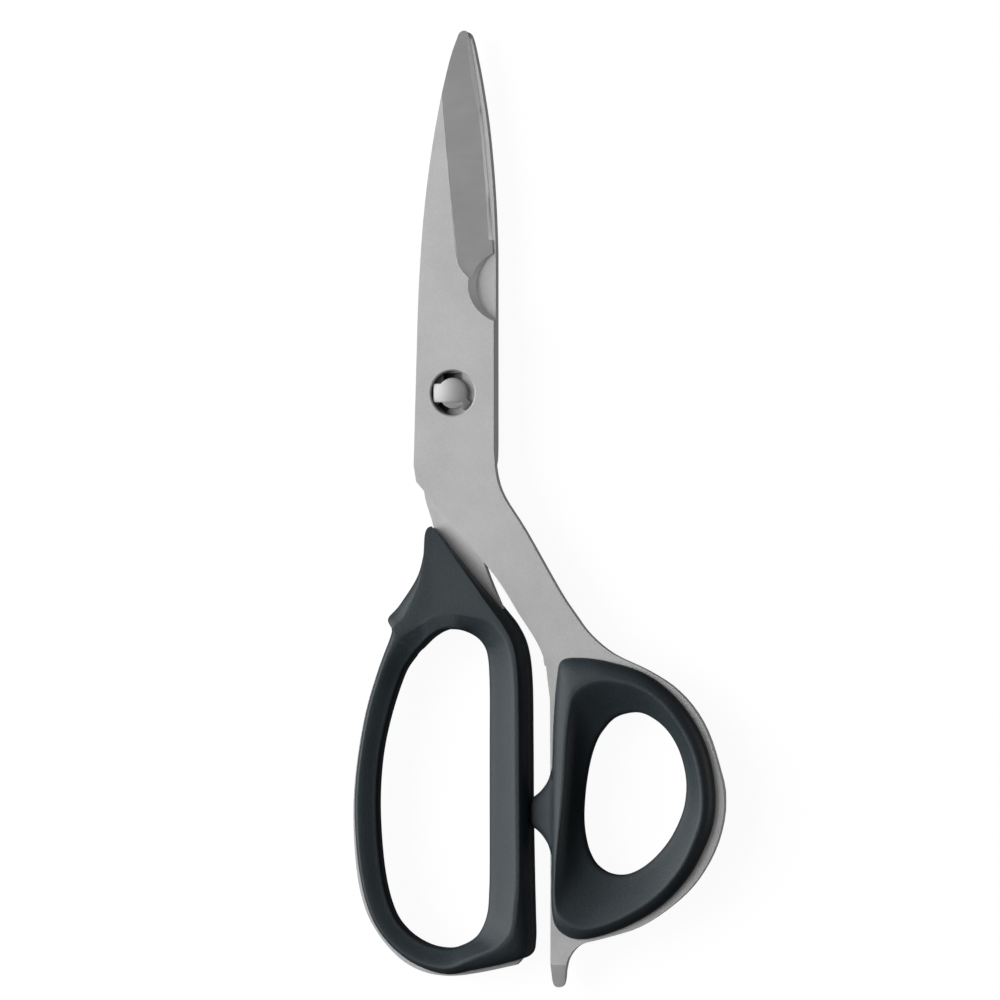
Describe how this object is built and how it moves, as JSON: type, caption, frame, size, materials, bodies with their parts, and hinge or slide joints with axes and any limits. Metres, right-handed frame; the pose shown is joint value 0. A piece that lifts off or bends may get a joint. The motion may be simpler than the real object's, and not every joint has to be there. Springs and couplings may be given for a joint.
{
  "type": "poultry shears",
  "caption": "Take-apart kitchen shears for poultry: two crossed steel blades on a keyed pivot stud, a bone notch, and a moulded ring grip on each.",
  "frame": {"origin": "on the pivot axis, at the back face of the rear blade", "axes": "+Y along the shears towards the blade tips, +Z out of the front blade's face, +X towards the thumb ring"},
  "size_m": [0.0896, 0.225, 0.013],
  "materials": {
    "blade_steel": "fine satin, brighter where the bevels are ground",
    "stud_steel": "satin, turned",
    "grip_plastic": "matte, very fine grain",
    "bumper_rubber": "matte, soft"
  },
  "bodies": {
    "rear_half": {"rear_blade": "blade_steel", "pivot_stud": "stud_steel", "finger_grip_front": "grip_plastic", "finger_grip_back": "grip_plastic", "finger_grip_dowels": "stud_steel"},
    "front_half": {"front_blade": "blade_steel", "thumb_grip_front": "grip_plastic", "thumb_grip_back": "grip_plastic", "thumb_grip_dowels": "stud_steel", "stop_bumper": "bumper_rubber"}
  },
  "joints": [
    {"name": "blade_pivot", "type": "hinge", "parent": "rear_half", "child": "front_half", "pos_m": [0, 0, 0.0045], "axis": [0, 0, 1], "range_deg": [0, 86]}
  ]
}
